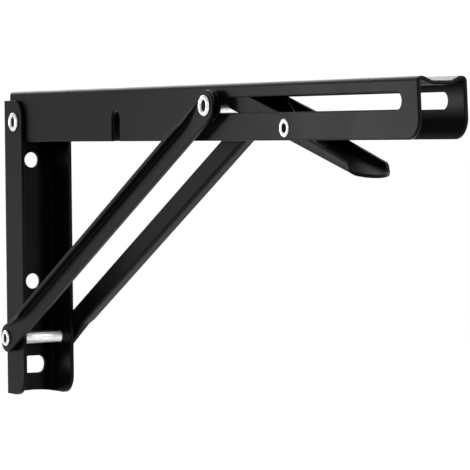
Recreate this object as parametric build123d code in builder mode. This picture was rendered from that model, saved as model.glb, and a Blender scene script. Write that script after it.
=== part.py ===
from build123d import *
import os
from math import acos, atan2, cos, degrees, hypot, radians, sin, sqrt, tan

# Folding shelf bracket in its open position.
# X runs out from the wall, Y across the bracket, Z up. The origin is where the wall plane
# meets the plane of the shelf's underside, on the bracket's centre plane. Millimetres.

os.makedirs("parts", exist_ok=True)

# Pressed channel section, shared by the wall channel and the arm
channel_sheet = 1.8
channel_bend = 2.2  # outside radius of the two long bends
arm_shoulder = 3.4  # flat of the arm's web from its side to the groove
groove_slope = 4.3  # width of each sloping side of the groove
groove_depth = 1.9
groove_soft_radius = 2.4

# Arm
reach = 400.0  # wall plane to the arm's tip
arm_width = 24.5
arm_height = 26.25
arm_wall_gap = 4.0  # wall plane to the arm's inner end
tip_slope = 3.5  # lean of the flanges' end edges, degrees, bottom further out
tip_corner_radius = 9.0
heel_clearance = 0.5  # arm's rounded heel to the wall channel's web as it swings

# Wall channel
arm_side_play = 0.3  # arm flange to wall channel flange, each side
plate_drop = 4.75  # wall channel's top edge below the shelf plane
plate_length = 153.0
plate_depth = 22.0
plate_top_radius = 9.0
plate_foot_radius = 10.0
plate_foot_arch = 1.2  # hollow of the web's bottom edge

# Screw holes
screw_hole_radius = 4.0
wall_hole_upper = 35.75  # below the shelf plane
wall_hole_spacing = 63.6
wall_slot_rise = 14.7  # wall slot's centre above the wall channel's foot
wall_slot_length = 14.0
wall_slot_height = 9.0
shelf_hole_inner = 60.0  # out from the wall plane
shelf_hole_middle = 145.0
shelf_hole_to_tip = 12.0  # outer shelf hole to the arm's tip

# Pivots: out from the wall plane, below the shelf plane, or above a lower edge
top_pivot_out = 13.4
top_pivot_rise = 10.3  # above the arm's lower edge
lower_pivot_out = 8.6
lower_pivot_rise = 29.4  # above the wall channel's foot
folded_pin_to_tip = 25.89  # sliding pin to the arm's tip with the bracket folded
slot_drop = 10.1  # centre line of the arm's slots
slot_spare = 9.0  # slot left beyond the folded pin
lever_pivot_ahead = 62.8  # lever pivot out from the locked sliding pin
lever_pivot_rise = 5.5  # above the arm's lower edge

# Tubular rivets with rolled rims
pin_radius = 3.45
pin_bore_radius = 2.5
pin_rim_radius = 4.9
pin_rim_height = 1.5
lower_bore_radius = 2.2
lower_rim_radius = 4.1
lever_pin_radius = 3.0
lever_pin_bore_radius = 2.1
lever_rim_radius = 4.05
lever_rim_height = 0.5
rim_wall = 0.5  # share of a rim's height that stands straight before it rolls inward
running_fit = 0.05  # radial clearance of every pin in its hole
slot_play = 0.1  # sliding pin to each side of the slot
face_gap = 0.15  # between faces that turn on each other

# Struts
strut_sheet = 2.0
strut_eye_radius = 7.2
strut_back = 3.4  # flanged edge of the bar from the line through the eyes
strut_flange_depth = 5.4
strut_bend = 1.8
strut_neck = 21.0  # eye centre to where the bar has its full section
strut_flange_fade = 27.0  # eye centre to where the flange has its full depth
strut_flange_start = 3.0  # eye centre to where the flange begins to rise
strut_neck_soft = 18.0

# Stack on the sliding pin
washer_radius = 6.8
washer_thickness = 1.5
collar_radius = 4.7
collar_length = 1.3

# Notch in the arm that clears the lower pivot when folded
notch_width = 8.6
notch_height = 14.9

# Release lever, in its own tilted frame about the lever pivot
lever_tilt = 15.3  # slope of the locked lever, degrees below level
lever_sheet = 1.5
lever_side_play = 0.3
lever_web_below = 5.7  # outside of the web below the pivot
lever_flange_above = 4.65  # flange top above the pivot, nose side
lever_handle_below = 0.5  # flange top below the pivot where the handle starts
lever_handle_fall = 1.0  # further fall of the flange top to the handle's end
lever_step_start = 5.0
lever_step_end = 15.0
lever_handle_end = 54.4  # pivot to the end of the handle flanges
lever_step_radius = 4.0
lever_bend = 1.8
lever_handle_rounding = 3.2  # length of the rounded end of each handle flange
lever_nose_gap = 0.2  # nose to the sliding pin
lever_roof_gap = 2.3  # nose to the arm's web above it
tongue_length = 7.4  # beyond the handle flanges

# Torsion spring on the lever rivet
spring_wire_radius = 0.45
spring_play = 0.12
spring_pitch = 1.2
spring_turns = 2
spring_wire_sides = 5
spring_web_leg = 24.0
spring_roof_gap = 0.3
spring_roof_rise = 37.0  # slope of the upper leg, degrees above level

# Widths and depths that follow from those above
wall_width = arm_width + 2 * (arm_side_play + channel_sheet)
groove_half_width = arm_width / 2 - arm_shoulder - groove_slope
plate_bottom = plate_drop + plate_length
top_pivot_drop = arm_height - top_pivot_rise
lower_pivot_drop = plate_bottom - lower_pivot_rise
lever_pivot_drop = arm_height - lever_pivot_rise
washer_seat = arm_width / 2 + lever_rim_height + face_gap  # the washers pass over the lever rivet
strut_plane = washer_seat + washer_thickness + collar_length
strut_outer = strut_plane + strut_sheet
slot_height = 2 * (pin_radius + slot_play)

# Folded, the arm hangs straight down beside the wall: this sets the struts' length,
# and that sets where the sliding pin stands when the arm is level
folded_pin_along = reach - folded_pin_to_tip
folded_pin_out = top_pivot_out + top_pivot_drop - slot_drop
folded_pin_drop = top_pivot_drop + folded_pin_along - top_pivot_out
strut_length = hypot(folded_pin_out - lower_pivot_out, folded_pin_drop - lower_pivot_drop)
strut_rise = lower_pivot_drop - slot_drop
slide_out = lower_pivot_out + sqrt(strut_length**2 - strut_rise**2)
strut_angle = degrees(atan2(strut_rise, slide_out - lower_pivot_out))
lever_pivot_out = slide_out + lever_pivot_ahead
slot_inner_end = slide_out - pin_radius - slot_play
slot_outer_end = folded_pin_along + slot_spare + pin_radius
notch_out = top_pivot_out + lower_pivot_drop - top_pivot_drop

top_pivot = (top_pivot_out, -top_pivot_drop)
lower_pivot = (lower_pivot_out, -lower_pivot_drop)
slide_pin = (slide_out, -slot_drop)
lever_pivot = (lever_pivot_out, -lever_pivot_drop)


def channel_section(plane, width, depth):
    """Section of a pressed channel: web at the plane's y = 0, flanges down to y = -depth."""
    side = width / 2
    shoulder = groove_half_width + groove_slope
    outer_skin = [
        (-side, -depth),
        (-side, 0),
        (-shoulder, 0),
        (-groove_half_width, -groove_depth),
        (groove_half_width, -groove_depth),
        (shoulder, 0),
        (side, 0),
        (side, -depth),
    ]
    soft = groove_soft_radius
    bends = [channel_bend, soft, soft, soft, soft, channel_bend]
    with BuildSketch(plane) as section:
        with BuildLine():
            FilletPolyline(*outer_skin, radius=bends)
            offset(amount=channel_sheet, side=Side.RIGHT)
        make_face()
    return section.sketch


def on_circle(center, radius, angle):
    """Point on a circle in a sketch plane, the angle in degrees."""
    return (center[0] + radius * cos(radians(angle)), center[1] + radius * sin(radians(angle)))


# Wall channel: web on the wall, flanges forward, rounded ears and feet
plate_top_plane = Plane(origin=(0, 0, -plate_drop), x_dir=(0, 1, 0), z_dir=(0, 0, 1))
with BuildPart() as wall_channel:
    extrude(channel_section(plate_top_plane, wall_width, plate_depth), amount=-plate_length)
    with BuildSketch(Plane.XZ):
        with BuildLine():
            FilletPolyline(
                (0, -plate_drop),
                (plate_depth, -plate_drop),
                (plate_depth, -plate_bottom),
                (0, -plate_bottom),
                radius=[plate_top_radius, plate_foot_radius],
            )
            Line((0, -plate_bottom), (0, -plate_drop))
        make_face()
    extrude(amount=wall_width, both=True, mode=Mode.INTERSECT)
    with BuildSketch(Plane.YZ):
        with Locations((0, -wall_hole_upper), (0, -wall_hole_upper - wall_hole_spacing)):
            Circle(screw_hole_radius)
        with Locations((0, wall_slot_rise - plate_bottom)):
            SlotOverall(wall_slot_length, wall_slot_height)
        with BuildLine():
            ThreePointArc(
                (-arm_width / 2, -plate_bottom),
                (0, -plate_bottom + plate_foot_arch),
                (arm_width / 2, -plate_bottom),
            )
            Line((arm_width / 2, -plate_bottom), (-arm_width / 2, -plate_bottom))
        make_face()
    extrude(amount=groove_depth + 2 * channel_sheet, mode=Mode.SUBTRACT)
    with BuildSketch(Plane.XZ):
        with Locations(top_pivot, lower_pivot):
            Circle(pin_radius + running_fit)
    extrude(amount=wall_width, both=True, mode=Mode.SUBTRACT)

# Arm: channel open below, slots for the sliding pin, notches for the lower pivot
tip_foot = reach + tip_corner_radius * (tan(radians(tip_slope)) + 1 / cos(radians(tip_slope)) - 1)
tip_top = tip_foot - arm_height * tan(radians(tip_slope))
heel_radius = top_pivot_out - channel_sheet - heel_clearance
heel_bottom_angle = -90 - degrees(acos((arm_height - top_pivot_drop) / heel_radius))
heel_back_angle = 180 + degrees(acos((top_pivot_out - arm_wall_gap) / heel_radius))
with BuildPart() as arm_channel:
    extrude(
        channel_section(Plane.YZ.offset(arm_wall_gap), arm_width, arm_height),
        amount=reach - arm_wall_gap,
    )
    with BuildSketch(Plane.XZ):
        with BuildLine():
            heel = ThreePointArc(
                on_circle(top_pivot, heel_radius, heel_bottom_angle),
                on_circle(top_pivot, heel_radius, (heel_bottom_angle % 360 + heel_back_angle) / 2),
                on_circle(top_pivot, heel_radius, heel_back_angle),
            )
            FilletPolyline(
                heel @ 1,
                (arm_wall_gap, 0),
                (tip_top, 0),
                (tip_foot, -arm_height),
                heel @ 0,
                radius=[0, 0, tip_corner_radius],
            )
        make_face()
    extrude(amount=arm_width, both=True, mode=Mode.INTERSECT)
    with BuildSketch(Plane.XZ):
        with Locations(((slot_inner_end + slot_outer_end) / 2, -slot_drop)):
            SlotOverall(slot_outer_end - slot_inner_end, slot_height)
        with Locations((notch_out, -arm_height)):
            SlotOverall(2 * notch_height, notch_width, rotation=90)
        with Locations(top_pivot):
            Circle(pin_radius + running_fit)
        with Locations(lever_pivot):
            Circle(lever_pin_radius + running_fit)
    extrude(amount=arm_width, both=True, mode=Mode.SUBTRACT)
    with Locations(
        (shelf_hole_inner, 0, 0), (shelf_hole_middle, 0, 0), (reach - shelf_hole_to_tip, 0, 0)
    ):
        Hole(screw_hole_radius, depth=groove_depth + 2 * channel_sheet)


def rivet_end(radius, bore_radius, rim_radius, rim_height, inner_end, seat):
    """Half section of a tubular rivet's end: x is the radius, y the distance out along it."""
    with BuildSketch() as section:
        with BuildLine():
            Polyline(
                (rim_radius, seat),
                (rim_radius, seat + rim_wall * rim_height),
                (bore_radius, seat + rim_height),
                (bore_radius, inner_end),
                (radius, inner_end),
                (radius, seat),
                (rim_radius, seat),
            )
        make_face()
    return section.sketch


def across(place, side=1):
    """Plane through a pivot, x out from the wall and y outward on one side of the bracket."""
    return Plane(origin=(place[0], 0, place[1]), x_dir=(1, 0, 0), z_dir=(0, 0, side))


def cross_axis(place):
    """Axis of a pivot across the bracket."""
    return Axis((place[0], 0, place[1]), (0, 1, 0))


top_rivet_half = rivet_end(
    pin_radius, pin_bore_radius, pin_rim_radius, pin_rim_height, 0, wall_width / 2
)
with BuildPart() as top_pivot_rivet:
    revolve(across(top_pivot) * top_rivet_half, axis=cross_axis(top_pivot))
    mirror(about=Plane.XZ)

lower_rivet_half = rivet_end(
    pin_radius, lower_bore_radius, lower_rim_radius, pin_rim_height, 0, strut_outer + face_gap
)
with BuildPart() as lower_pivot_rivet:
    revolve(across(lower_pivot) * lower_rivet_half, axis=cross_axis(lower_pivot))
    mirror(about=Plane.XZ)

lever_rivet_half = rivet_end(
    lever_pin_radius,
    lever_pin_bore_radius,
    lever_rim_radius,
    lever_rim_height,
    0,
    arm_width / 2,
)
with BuildPart() as lever_rivet:
    revolve(across(lever_pivot) * lever_rivet_half, axis=cross_axis(lever_pivot))
    mirror(about=Plane.XZ)

# Middle of the sliding pin, inside the arm and its slots
with BuildPart() as slide_axle:
    with BuildSketch(Plane.XZ):
        with Locations(slide_pin):
            Circle(pin_radius)
    extrude(amount=arm_width / 2, both=True)


def side_plane(place, distance, side):
    """Plane across the bracket at a distance from its middle, facing outward on one side."""
    return Plane(
        origin=(place[0], side * distance, place[1]), x_dir=(1, 0, 0), z_dir=(0, side, 0)
    )


def strut(side):
    """Pressed strut with two flat eyes and one flange; the same bar is turned over at +Y."""
    slope = radians(strut_angle)
    bar_plane = Plane(
        origin=(lower_pivot_out, side * strut_plane, -lower_pivot_drop),
        x_dir=(cos(slope), 0, sin(slope)),
        z_dir=(0, side, 0),
    )
    far = strut_length
    neck_angle = degrees(
        atan2(strut_back, strut_neck) + acos(strut_eye_radius / hypot(strut_neck, strut_back))
    )
    back_edge = [
        on_circle((0, 0), strut_eye_radius, neck_angle),
        (strut_neck, strut_back),
        (far - strut_neck, strut_back),
        on_circle((far, 0), strut_eye_radius, 180 - neck_angle),
    ]
    with BuildPart() as bar:
        with BuildSketch(bar_plane):
            with BuildLine():
                FilletPolyline(*back_edge, radius=strut_neck_soft)
                Polyline(
                    back_edge[-1],
                    (far, 0),
                    (far, -strut_eye_radius),
                    (0, -strut_eye_radius),
                    (0, 0),
                    back_edge[0],
                )
            make_face()
        extrude(amount=strut_sheet)
        with BuildSketch(bar_plane):
            with BuildLine():
                FilletPolyline(*back_edge, radius=strut_neck_soft)
                offset(amount=strut_sheet, side=Side.RIGHT)
            make_face()
        extrude(amount=strut_flange_depth)

        def on_long_bend(edge):
            """True for an edge of the inner face that runs along the flange."""
            place = bar_plane.to_local_coords(edge.center())
            level = abs(place.Z) < running_fit
            return level and place.Y > strut_back - running_fit and 0 < place.X < far

        fillet(bar.edges().filter_by(on_long_bend), radius=strut_bend)
        fade_plane = Plane(origin=bar_plane.origin, x_dir=bar_plane.x_dir, z_dir=-bar_plane.y_dir)
        with BuildSketch(fade_plane):
            top = 2 * strut_flange_depth
            for start, full in (
                (strut_flange_start, strut_flange_fade),
                (far - strut_flange_start, far - strut_flange_fade),
            ):
                beyond = start - (full - start)
                with BuildLine():
                    Polyline(
                        (beyond, strut_sheet),
                        (start, strut_sheet),
                        (full, strut_flange_depth),
                        (full, top),
                        (beyond, top),
                        (beyond, strut_sheet),
                    )
                make_face()
        extrude(amount=2 * strut_eye_radius, both=True, mode=Mode.SUBTRACT)
        with BuildSketch(bar_plane):
            with Locations((0, 0), (far, 0)):
                Circle(strut_eye_radius)
        extrude(amount=strut_sheet)
        with BuildSketch(bar_plane):
            with Locations((0, 0), (far, 0)):
                Circle(pin_radius + running_fit)
        extrude(amount=strut_flange_depth, mode=Mode.SUBTRACT)
    return bar


def slide_rivet(side):
    """Riveted end of the sliding pin, in the strut's upper eye."""
    half = rivet_end(
        pin_radius,
        pin_bore_radius,
        pin_rim_radius,
        pin_rim_height,
        arm_width / 2 + face_gap,
        strut_outer,
    )
    with BuildPart() as rivet:
        revolve(across(slide_pin, side) * half, axis=cross_axis(slide_pin))
    return rivet


def ring(place, side, near, far, radius):
    """Flat ring on a pin, between two distances from the centre plane."""
    with BuildPart() as washer:
        with BuildSketch(side_plane(place, near, side)):
            Circle(radius)
            Circle(pin_radius + running_fit, mode=Mode.SUBTRACT)
        extrude(amount=far - near)
    return washer


def slide_washer(side):
    """Thick washer that runs past the lever rivet's rim, with a boss towards the arm."""
    with BuildPart() as washer:
        with BuildSketch(side_plane(slide_pin, arm_width / 2 + face_gap, side)):
            Circle(collar_radius)
        extrude(amount=lever_rim_height)
        with BuildSketch(side_plane(slide_pin, washer_seat, side)):
            Circle(washer_radius)
        extrude(amount=washer_thickness)
        with BuildSketch(side_plane(slide_pin, arm_width / 2, side)):
            Circle(pin_radius + running_fit)
        extrude(amount=strut_plane, mode=Mode.SUBTRACT)
    return washer


# Release lever: channel open above, nose against the sliding pin, rounded thumb tongue
tilt = radians(lever_tilt)
lever_plane = Plane(
    origin=(lever_pivot_out, 0, -lever_pivot_drop),
    x_dir=(cos(tilt), 0, -sin(tilt)),
    z_dir=(0, -1, 0),
)
lever_width = arm_width - 2 * (channel_sheet + lever_side_play)
tongue_end = lever_handle_end + tongue_length
lever_floor = lever_sheet - lever_web_below
nose_radius = (
    hypot(lever_pivot_out - slide_out, lever_pivot_drop - slot_drop) - pin_radius - lever_nose_gap
)
roof = lever_pivot_drop - channel_sheet - lever_roof_gap
roof_out = -sqrt(nose_radius**2 - roof**2)
nose_top = (roof_out * cos(tilt) - roof * sin(tilt), roof_out * sin(tilt) + roof * cos(tilt))
nose_bottom = (-sqrt(nose_radius**2 - lever_web_below**2), -lever_web_below)
nose_middle_height = (nose_top[1] + nose_bottom[1]) / 2
nose_middle = (-sqrt(nose_radius**2 - nose_middle_height**2), nose_middle_height)
roof_end = (lever_flange_above * cos(tilt) - roof) / sin(tilt)
lever_section_plane = Plane(
    origin=lever_plane.from_local_coords((-nose_radius - lever_nose_gap, 0, 0)),
    x_dir=(0, 1, 0),
    z_dir=lever_plane.x_dir,
)
with BuildPart() as release_lever:
    with BuildSketch(lever_section_plane):
        with BuildLine():
            FilletPolyline(
                (-lever_width / 2, lever_pivot_drop),
                (-lever_width / 2, -lever_web_below),
                (lever_width / 2, -lever_web_below),
                (lever_width / 2, lever_pivot_drop),
                radius=lever_bend,
            )
            offset(amount=lever_sheet, side=Side.LEFT)
        make_face()
    extrude(amount=nose_radius + lever_nose_gap + tongue_end)
    with BuildSketch(lever_plane):
        with BuildLine():
            ThreePointArc(nose_top, nose_middle, nose_bottom)
            flange_top = FilletPolyline(
                nose_top,
                (roof_end, lever_flange_above),
                (lever_step_start, lever_flange_above),
                (lever_step_end, -lever_handle_below),
                (lever_handle_end - lever_handle_rounding, -lever_handle_below - lever_handle_fall),
                radius=lever_step_radius,
            )
            TangentArc(flange_top @ 1, (lever_handle_end, lever_floor), tangent=flange_top % 1)
            Polyline(
                (lever_handle_end, lever_floor),
                (tongue_end, lever_floor),
                (tongue_end, -lever_web_below),
                nose_bottom,
            )
        make_face()
    extrude(amount=lever_width, both=True, mode=Mode.INTERSECT)
    tongue_plan = Plane(origin=lever_plane.origin, x_dir=lever_plane.x_dir, z_dir=lever_plane.y_dir)
    with BuildSketch(tongue_plan):
        with BuildLine():
            ThreePointArc(
                (lever_handle_end, -lever_width / 2),
                (tongue_end, 0),
                (lever_handle_end, lever_width / 2),
            )
            Polyline(
                (lever_handle_end, lever_width / 2),
                (lever_handle_end, lever_width),
                (tongue_end + tongue_length, lever_width),
                (tongue_end + tongue_length, -lever_width),
                (lever_handle_end, -lever_width),
                (lever_handle_end, -lever_width / 2),
            )
        make_face()
    extrude(amount=2 * lever_web_below, both=True, mode=Mode.SUBTRACT)
    with BuildSketch(lever_plane):
        Circle(lever_pin_radius + running_fit)
    extrude(amount=lever_width, both=True, mode=Mode.SUBTRACT)

# Torsion spring: coil round the lever rivet, one leg on the lever's web, one under the arm's web
coil_radius = lever_pin_radius + spring_play + spring_wire_radius
web_leg_angle = radians(270 - lever_tilt)
coil_turns = spring_turns + (spring_roof_rise - lever_tilt) / 360
coil_length = coil_turns * spring_pitch
coil_plane = Plane(
    origin=(lever_pivot_out, -coil_length / 2, -lever_pivot_drop),
    x_dir=(cos(web_leg_angle), 0, sin(web_leg_angle)),
    z_dir=(0, 1, 0),
)
coil = coil_plane * Helix(spring_pitch, coil_length, coil_radius)
roof_below = groove_depth + channel_sheet + spring_roof_gap + spring_wire_radius
roof_leg_length = (-roof_below - (coil @ 1).Z) / sin(radians(spring_roof_rise))
web_leg_end = coil @ 0 - spring_web_leg * (coil % 0)
with BuildPart() as lever_spring:
    with BuildLine() as spring_wire:
        Line(web_leg_end, coil @ 0)
        add(coil)
        Line(coil @ 1, coil @ 1 + roof_leg_length * (coil % 1))
    with BuildSketch(Plane(origin=web_leg_end, z_dir=coil % 0)):
        RegularPolygon(spring_wire_radius, spring_wire_sides)
    sweep(path=spring_wire.wires()[0])

pieces = {
    "wall_channel": wall_channel,
    "top_pivot_rivet": top_pivot_rivet,
    "lower_pivot_rivet": lower_pivot_rivet,
    "arm_channel": arm_channel,
    "slide_axle": slide_axle,
    "lever_rivet": lever_rivet,
    "release_lever": release_lever,
    "lever_spring": lever_spring,
}
for side, hand in ((-1, "left"), (1, "right")):
    pieces[f"strut_{hand}"] = strut(side)
    pieces[f"slide_rivet_{hand}"] = slide_rivet(side)
    pieces[f"slide_washer_{hand}"] = slide_washer(side)
    pieces[f"slide_collar_{hand}"] = ring(
        slide_pin, side, washer_seat + washer_thickness, strut_plane, collar_radius
    )
    pieces[f"lower_washer_{hand}"] = ring(
        lower_pivot, side, wall_width / 2, strut_plane - face_gap, washer_radius
    )

for name, piece in pieces.items():
    piece.part.label = name
    export_step(piece.part, f"parts/{name}.step")
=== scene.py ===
from math import cos, pi, radians, sin

import bmesh
import bpy
from mathutils import Matrix, Vector


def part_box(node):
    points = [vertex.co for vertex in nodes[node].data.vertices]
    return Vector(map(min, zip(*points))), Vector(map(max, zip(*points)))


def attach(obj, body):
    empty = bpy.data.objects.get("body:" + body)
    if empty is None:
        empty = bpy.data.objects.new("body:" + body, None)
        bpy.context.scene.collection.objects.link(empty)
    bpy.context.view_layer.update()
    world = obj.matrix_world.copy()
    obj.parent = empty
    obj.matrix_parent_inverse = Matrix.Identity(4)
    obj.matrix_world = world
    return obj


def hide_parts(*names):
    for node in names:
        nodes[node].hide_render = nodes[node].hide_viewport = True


MM = 0.001

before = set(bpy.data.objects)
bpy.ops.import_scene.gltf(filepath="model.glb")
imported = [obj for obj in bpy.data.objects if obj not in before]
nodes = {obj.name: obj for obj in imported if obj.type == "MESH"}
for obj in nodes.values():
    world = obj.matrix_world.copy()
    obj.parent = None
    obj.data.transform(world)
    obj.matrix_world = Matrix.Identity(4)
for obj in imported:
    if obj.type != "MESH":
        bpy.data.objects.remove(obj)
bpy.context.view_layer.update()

# Node helpers


def add(tree, kind, **values):
    """Adds a node, and sets the inputs that are named."""
    node = tree.nodes.new(kind)
    for key, value in values.items():
        node.inputs[key.replace("_", " ")].default_value = value
    return node


def new_material(name):
    """A node material: its tree, its shader and its texture place on the piece."""
    material = bpy.data.materials.new(name)
    material.use_nodes = True
    tree = material.node_tree
    place = add(tree, "ShaderNodeTexCoord").outputs["Object"]
    return material, tree, tree.nodes["Principled BSDF"], place


def noise(tree, place, **values):
    """A noise texture's value at a place."""
    node = add(tree, "ShaderNodeTexNoise", **values)
    tree.links.new(place, node.inputs["Vector"])
    return node.outputs["Fac"]


def ramp(tree, source, low, high, start=0, end=1):
    """Turns a value between low and high into a value between start and end."""
    node = add(tree, "ShaderNodeMapRange", From_Min=low, From_Max=high, To_Min=start, To_Max=end)
    tree.links.new(source, node.inputs["Value"])
    return node.outputs["Result"]


def mixed_color(tree, amount, first, second):
    """The first color where the amount is 0 and the second, a color or an output, where it is 1."""
    node = add(tree, "ShaderNodeMix")
    node.data_type = "RGBA"
    node.inputs["A"].default_value = first
    if isinstance(second, tuple):
        node.inputs["B"].default_value = second
    else:
        tree.links.new(second, node.inputs["B"])
    tree.links.new(amount, node.inputs["Factor"])
    return node.outputs["Result"]


def bump(tree, height, strength, depth, under=None):
    """The normal of a relief, laid over the normal under it."""
    node = add(tree, "ShaderNodeBump", Strength=strength, Distance=depth)
    tree.links.new(height, node.inputs["Height"])
    if under is not None:
        tree.links.new(under, node.inputs["Normal"])
    return node.outputs["Normal"]


# Materials

COAT_DARK = (0.0048, 0.0048, 0.00492, 1)
COAT_LIGHT = (0.0075, 0.00732, 0.0072, 1)
COAT_ROUGHNESS = (0.285, 0.355)
COAT_SPECULAR = 0.035
COAT_EDGE_RADIUS = 0.7 * MM
COAT_EDGE_SAMPLES = 8
PEEL_DEPTH = 0.12 * MM
GRIT_DEPTH = 0.04 * MM

PLATE_DULL = (0.42, 0.42, 0.41, 1)
PLATE_BRIGHT = (0.58, 0.58, 0.57, 1)
PLATE_ROUGHNESS = (0.34, 0.26)
# Painted shade: the colour the rivet's hollow and recesses are darkened to, with the reach of that
# darkening
PAINTED_HOLLOW_SHADE = (0.03, 0.03, 0.03, 1)
HOLLOW_SHADE_REACH = 5 * MM
TURNING_DEPTH = 0.02 * MM

WIRE_DARK = (0.10, 0.098, 0.094, 1)
WIRE_LIGHT = (0.28, 0.275, 0.265, 1)
WIRE_ROUGHNESS = (0.28, 0.44)
WIRE_MARK_DEPTH = 0.03 * MM


def black_coat():
    """Satin black powder coat: orange peel, fine grit and a little unevenness in its gloss."""
    material, tree, shader, place = new_material("black_coat")
    link = tree.links.new
    clouds = noise(tree, place, Scale=38, Detail=4, Roughness=0.6)
    tone = mixed_color(tree, ramp(tree, clouds, 0.35, 0.65), COAT_DARK, COAT_LIGHT)
    link(tone, shader.inputs["Base Color"])
    link(ramp(tree, clouds, 0.3, 0.7, *COAT_ROUGHNESS), shader.inputs["Roughness"])
    shader.inputs["Specular IOR Level"].default_value = COAT_SPECULAR

    edge = add(tree, "ShaderNodeBevel", Radius=COAT_EDGE_RADIUS)
    edge.samples = COAT_EDGE_SAMPLES
    peel = noise(tree, place, Scale=900, Detail=2, Roughness=0.5)
    grit = noise(tree, place, Scale=4200, Detail=1, Roughness=0.4)
    coarse = bump(tree, peel, 0.10, PEEL_DEPTH, under=edge.outputs["Normal"])
    link(bump(tree, grit, 0.12, GRIT_DEPTH, under=coarse), shader.inputs["Normal"])
    return material


def bright_plate():
    """Nickel plate over a rolled rivet: turning marks, duller spots, and painted shade darkening
    its hollow.
    """
    material, tree, shader, place = new_material("bright_plate")
    link = tree.links.new
    stains = noise(tree, place, Scale=420, Detail=5, Roughness=0.62)
    metal = mixed_color(tree, ramp(tree, stains, 0.32, 0.62), PLATE_DULL, PLATE_BRIGHT)
    # Painted shade: ambient occlusion darkens the base colour in the rivet's hollow and other
    # recesses
    hollow_shade = add(tree, "ShaderNodeAmbientOcclusion", Distance=HOLLOW_SHADE_REACH)
    hollow_shade.only_local = True
    tone = mixed_color(tree, ramp(tree, hollow_shade.outputs["AO"], 0.12, 0.5), PAINTED_HOLLOW_SHADE, metal)
    link(tone, shader.inputs["Base Color"])
    link(ramp(tree, stains, 0.3, 0.7, *PLATE_ROUGHNESS), shader.inputs["Roughness"])
    shader.inputs["Metallic"].default_value = 1.0

    stretch = add(tree, "ShaderNodeMapping", Scale=(1, 9, 1))
    link(place, stretch.inputs["Vector"])
    turning = noise(tree, stretch.outputs["Vector"], Scale=1500, Detail=3, Roughness=0.6)
    link(bump(tree, turning, 0.05, TURNING_DEPTH), shader.inputs["Normal"])
    return material


def drawn_wire():
    """Plain drawn spring wire with a thin oil-dark skin."""
    material, tree, shader, place = new_material("spring_steel")
    link = tree.links.new
    streaks = noise(tree, place, Scale=700, Detail=4, Roughness=0.6)
    tone = mixed_color(tree, ramp(tree, streaks, 0.35, 0.65), WIRE_DARK, WIRE_LIGHT)
    link(tone, shader.inputs["Base Color"])
    link(ramp(tree, streaks, 0.3, 0.7, *WIRE_ROUGHNESS), shader.inputs["Roughness"])
    shader.inputs["Metallic"].default_value = 1.0
    link(bump(tree, streaks, 0.15, WIRE_MARK_DEPTH), shader.inputs["Normal"])
    return material


COAT = black_coat()
PLATE = bright_plate()
WIRE = drawn_wire()


def paint(piece, material):
    """Gives a piece its one material."""
    piece.data.materials.clear()
    piece.data.materials.append(material)


# Pieces that stay the CAD's own, with modifiers over them

WELD_REACH = 0.002 * MM
FLAT_ANGLE = radians(0.6)
SHARP_ANGLE = radians(40)
SHEET_EDGE = 0.5 * MM
EDGE_SEGMENTS = 3
EDGE_NORMAL_WEIGHT = 80
FULL_WIDTH_EDGE = "arm_channel"
ROUNDING_LEVELS = 2


def merge_facets(piece):
    """Joins the CAD mesh's facets into one face per plane."""
    weld = piece.modifiers.new("weld", "WELD")
    weld.merge_threshold = WELD_REACH
    flat = piece.modifiers.new("one_face_per_plane", "DECIMATE")
    flat.decimate_type = "DISSOLVE"
    flat.angle_limit = FLAT_ANGLE


def soften_edges(piece):
    """Rounds sharp edges, at their full width on one piece and as far as they fit on the rest."""
    merge_facets(piece)
    bevel = piece.modifiers.new("edge", "BEVEL")
    bevel.width = SHEET_EDGE
    bevel.segments = EDGE_SEGMENTS
    bevel.limit_method = "ANGLE"
    bevel.angle_limit = SHARP_ANGLE
    bevel.use_clamp_overlap = piece.name != FULL_WIDTH_EDGE
    bevel.miter_outer = "MITER_ARC"
    normals = piece.modifiers.new("normals", "WEIGHTED_NORMAL")
    normals.weight = EDGE_NORMAL_WEIGHT


def round_wire(piece):
    """Smooths a flat-sided wire into a round one, which is thinner and ends a little short."""
    merge_facets(piece)
    smooth = piece.modifiers.new("round", "SUBSURF")
    smooth.levels = ROUNDING_LEVELS
    smooth.render_levels = ROUNDING_LEVELS
    smooth.boundary_smooth = "PRESERVE_CORNERS"


for name in (
    "wall_channel",
    "arm_channel",
    "release_lever",
    "strut_left",
    "strut_right",
    "slide_washer_left",
    "slide_washer_right",
    "slide_collar_left",
    "slide_collar_right",
    "lower_washer_left",
    "lower_washer_right",
):
    paint(nodes[name], COAT)
    soften_edges(nodes[name])

paint(nodes["lever_spring"], WIRE)
round_wire(nodes["lever_spring"])

# Rivets

TURN_STEPS = 72
PIN_RADIUS = 3.45 * MM
PIN_BORE = 2.5 * MM
PIN_RIM_HEIGHT = 1.5 * MM
LOWER_PIN_BORE = 2.2 * MM
LEVER_PIN_RADIUS = 3.0 * MM
LEVER_PIN_BORE = 2.1 * MM
LEVER_PIN_RIM_HEIGHT = 0.5 * MM

BORE_MOUTH_DROP = 0.4 * MM
FILLET = 0.15 * MM
ROLL_CENTER_SHARE = 0.25
ROLL_START = 180
ROLL_END = -25
ROLL_STEPS = 20
RIM_FOOT_SHARE = 0.12


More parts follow.
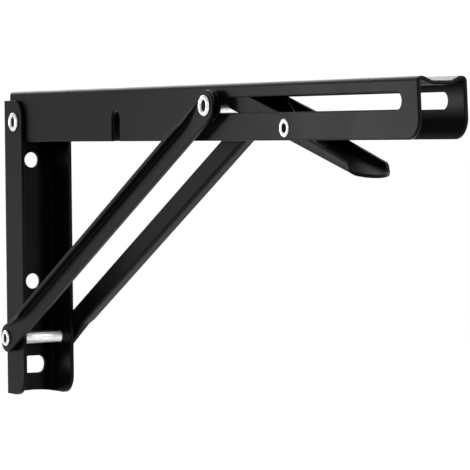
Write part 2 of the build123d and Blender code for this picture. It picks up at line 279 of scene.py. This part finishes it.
def lathe(name, profile, axis_x, axis_z):
    """Turns a closed profile of (radius, y) points about a line along Y."""
    mesh = bpy.data.meshes.new(name)
    shape = bmesh.new()
    rows = []
    for radius, y in profile:
        ring = []
        for step in range(TURN_STEPS):
            angle = 2 * pi * step / TURN_STEPS
            place = (axis_x + radius * cos(angle), y, axis_z + radius * sin(angle))
            ring.append(shape.verts.new(place))
        rows.append(ring)
    for first, second in zip(rows, rows[1:] + rows[:1]):
        for step in range(TURN_STEPS):
            after = (step + 1) % TURN_STEPS
            shape.faces.new((first[step], second[step], second[after], first[after]))
    bmesh.ops.recalc_face_normals(shape, faces=shape.faces)
    for face in shape.faces:
        face.smooth = True
    shape.to_mesh(mesh)
    shape.free()
    piece = bpy.data.objects.new(name, mesh)
    bpy.context.scene.collection.objects.link(piece)
    return piece


def roll_points(bore, rim, rim_height, seat):
    """Points (radius, y) over the rolled rim, from its bore round to its outer side."""
    center = (rim + bore) / 2
    half_width = (rim - bore) / 2
    center_y = seat + ROLL_CENTER_SHARE * rim_height
    half_height = (1 - ROLL_CENTER_SHARE) * rim_height
    points = []
    for step in range(ROLL_STEPS + 1):
        angle = radians(ROLL_START + (ROLL_END - ROLL_START) * step / ROLL_STEPS)
        points.append((center + half_width * cos(angle), center_y + half_height * sin(angle)))
    return points


def rolled_end(shank, bore, rim, rim_height, seat):
    """Profile of a rolled rivet end, from its bore out to the shank under the rim."""
    rim_foot = rim - RIM_FOOT_SHARE * (rim - bore) / 2
    mouth = [(bore, seat - BORE_MOUTH_DROP)]
    under = [(rim_foot, seat), (shank + FILLET, seat), (shank, seat - FILLET)]
    return mouth + roll_points(bore, rim, rim_height, seat) + under


def mirrored(profile):
    """The same profile at the other end of the rivet."""
    return [(radius, -y) for radius, y in reversed(profile)]


def through_rivet(name, node, shank, bore, rim_height):
    """A tubular rivet with both ends rolled, as long as its CAD node reaches to each side."""
    low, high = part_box(node)
    center = (low + high) / 2
    rim = (high.x - low.x) / 2
    end = rolled_end(shank, bore, rim, rim_height, high.y - rim_height)
    piece = lathe(name, end + mirrored(end), center.x, center.z)
    paint(piece, PLATE)
    return piece


for name, bore in (("top_pivot_rivet", PIN_BORE), ("lower_pivot_rivet", LOWER_PIN_BORE)):
    rivet = through_rivet(name + "_rolled", name, PIN_RADIUS, bore, PIN_RIM_HEIGHT)
    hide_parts(name)
    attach(rivet, "wall")

lever_rivet = through_rivet(
    "lever_rivet_rolled", "lever_rivet", LEVER_PIN_RADIUS, LEVER_PIN_BORE, LEVER_PIN_RIM_HEIGHT
)
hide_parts("lever_rivet")
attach(lever_rivet, "arm")

slide_rivet = through_rivet(
    "slide_rivet_rolled", "slide_rivet_right", PIN_RADIUS, PIN_BORE, PIN_RIM_HEIGHT
)
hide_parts("slide_rivet_left", "slide_rivet_right", "slide_axle")
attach(slide_rivet, "struts")

# Stage

WHITE = (1, 1, 1, 1)
FLOOR_DROP = 0.42
FLOOR_SIZE = 60
FLOOR_PALE = (0.82, 0.82, 0.82, 1)
FLOOR_GLOW = 0.98
FLOOR_DIM = (0.10, 0.10, 0.10, 1)
BACKDROP_GLOW = 1.05
ROOM_GLOW = 0.025


def mixed_shader(tree, amount, first, second):
    """The first shader where the amount is 0 and the second where it is 1."""
    node = add(tree, "ShaderNodeMixShader")
    for socket, source in zip(node.inputs, (amount, first, second)):
        tree.links.new(source, socket)
    return node.outputs[0]


def sees_backdrop(tree):
    """1 for rays from the camera, off glossy surfaces or through clear ones, otherwise 0."""
    path = add(tree, "ShaderNodeLightPath")
    total = path.outputs["Is Camera Ray"]
    for kind in ("Is Glossy Ray", "Is Transmission Ray"):
        either = add(tree, "ShaderNodeMath")
        either.operation = "MAXIMUM"
        tree.links.new(total, either.inputs[0])
        tree.links.new(path.outputs[kind], either.inputs[1])
        total = either.outputs[0]
    return total


def pale_floor():
    """White to the camera and in reflections, with the object's soft shadow kept,
    and clear from below, so that the bracket's underside can be seen."""
    material = bpy.data.materials.new("studio_floor")
    material.use_nodes = True
    tree = material.node_tree
    tree.nodes.clear()
    link = tree.links.new
    seen = add(tree, "ShaderNodeAddShader")
    pale = add(tree, "ShaderNodeBsdfDiffuse", Color=FLOOR_PALE)
    glow = add(tree, "ShaderNodeEmission", Color=WHITE, Strength=FLOOR_GLOW)
    link(pale.outputs[0], seen.inputs[0])
    link(glow.outputs[0], seen.inputs[1])
    dim = add(tree, "ShaderNodeBsdfDiffuse", Color=FLOOR_DIM)
    top = mixed_shader(tree, sees_backdrop(tree), dim.outputs[0], seen.outputs[0])
    clear = add(tree, "ShaderNodeBsdfTransparent")
    side = add(tree, "ShaderNodeNewGeometry")
    surface = mixed_shader(tree, side.outputs["Backfacing"], top, clear.outputs[0])
    link(surface, add(tree, "ShaderNodeOutputMaterial").inputs["Surface"])
    return material


def pale_room():
    """A backdrop that is white where it is seen, and a dim room to the light that it gives."""
    world = bpy.data.worlds.new("studio")
    world.use_nodes = True
    tree = world.node_tree
    tree.nodes.clear()
    room = add(tree, "ShaderNodeBackground", Color=WHITE, Strength=ROOM_GLOW)
    backdrop = add(tree, "ShaderNodeBackground", Color=WHITE, Strength=BACKDROP_GLOW)
    surface = mixed_shader(tree, sees_backdrop(tree), room.outputs[0], backdrop.outputs[0])
    tree.links.new(surface, add(tree, "ShaderNodeOutputWorld").inputs["Surface"])
    return world


bpy.ops.mesh.primitive_plane_add(size=FLOOR_SIZE, location=(0, 0, -FLOOR_DROP))
floor = bpy.context.object
floor.name = "studio_floor"
floor.data.materials.append(pale_floor())
bpy.context.scene.world = pale_room()

# Lamps

MIDDLE = (0.2, 0, -0.05)
ARM_TIP = (0.4, -0.02, -0.013)
STRUT_MIDDLE = (0.13, -0.02, -0.08)


def softbox(name, place, aim, width, height, power):
    """Rectangular studio light at a place, facing a point."""
    light = bpy.data.lights.new(name, "AREA")
    light.shape = "RECTANGLE"
    light.size = width
    light.size_y = height
    light.energy = power
    lamp = bpy.data.objects.new(name, light)
    bpy.context.scene.collection.objects.link(lamp)
    lamp.location = place
    lamp.rotation_mode = "QUATERNION"
    lamp.rotation_quaternion = (Vector(aim) - Vector(place)).to_track_quat("-Z", "Y")


softbox("overhead", (0.1, 0.5, 1.1), MIDDLE, width=1.0, height=0.6, power=6)
softbox("behind", (-1.9, 0.35, 0.95), MIDDLE, width=1.6, height=0.9, power=26)
softbox("side_near", (-0.235, -0.42, -0.01), ARM_TIP, width=0.16, height=0.16, power=0.75)
softbox("side_far", (-0.53, -0.61, -0.01), ARM_TIP, width=0.25, height=0.2, power=0.06)
softbox("side_low", (-0.496, -0.333, -0.107), STRUT_MIDDLE, width=0.16, height=0.12, power=0.05)
softbox("left_wall", (0.5, -1.6, 0.3), MIDDLE, width=1.3, height=0.8, power=5)
softbox("right_wall", (0.3, 1.6, 0.3), MIDDLE, width=1.3, height=0.8, power=12)
softbox("front", (1.6, 0.7, 0.75), MIDDLE, width=0.7, height=0.7, power=26)
softbox("fill", (1.5, -0.55, 0.3), MIDDLE, width=0.3, height=0.3, power=2)

# Camera

CAMERA_PLACE = Vector((1.44915, -0.68144, -0.02249))
CAMERA_TURN = radians(60.946)
CAMERA_PITCH = radians(1.931)
CAMERA_ROLL = radians(-0.5696)
CAMERA_LENS = 232.86
SENSOR_WIDTH = 36
NEAREST = 0.01
FARTHEST = 200


def camera_axes():
    """The camera's right, up and backward directions as the columns of a matrix."""
    forward = Vector(
        (
            -sin(CAMERA_TURN) * cos(CAMERA_PITCH),
            cos(CAMERA_TURN) * cos(CAMERA_PITCH),
            -sin(CAMERA_PITCH),
        )
    )
    level_right = Vector((cos(CAMERA_TURN), sin(CAMERA_TURN), 0))
    level_up = level_right.cross(forward)
    right = level_right * cos(CAMERA_ROLL) + level_up * sin(CAMERA_ROLL)
    up = level_up * cos(CAMERA_ROLL) - level_right * sin(CAMERA_ROLL)
    return Matrix((right, up, -forward)).transposed()


lens = bpy.data.cameras.new("camera")
lens.sensor_width = SENSOR_WIDTH
lens.lens = CAMERA_LENS
lens.clip_start = NEAREST
lens.clip_end = FARTHEST
camera = bpy.data.objects.new("camera", lens)
bpy.context.scene.collection.objects.link(camera)
camera.matrix_world = Matrix.Translation(CAMERA_PLACE) @ camera_axes().to_4x4()
bpy.context.scene.camera = camera
bpy.context.scene.view_settings.view_transform = "Standard"
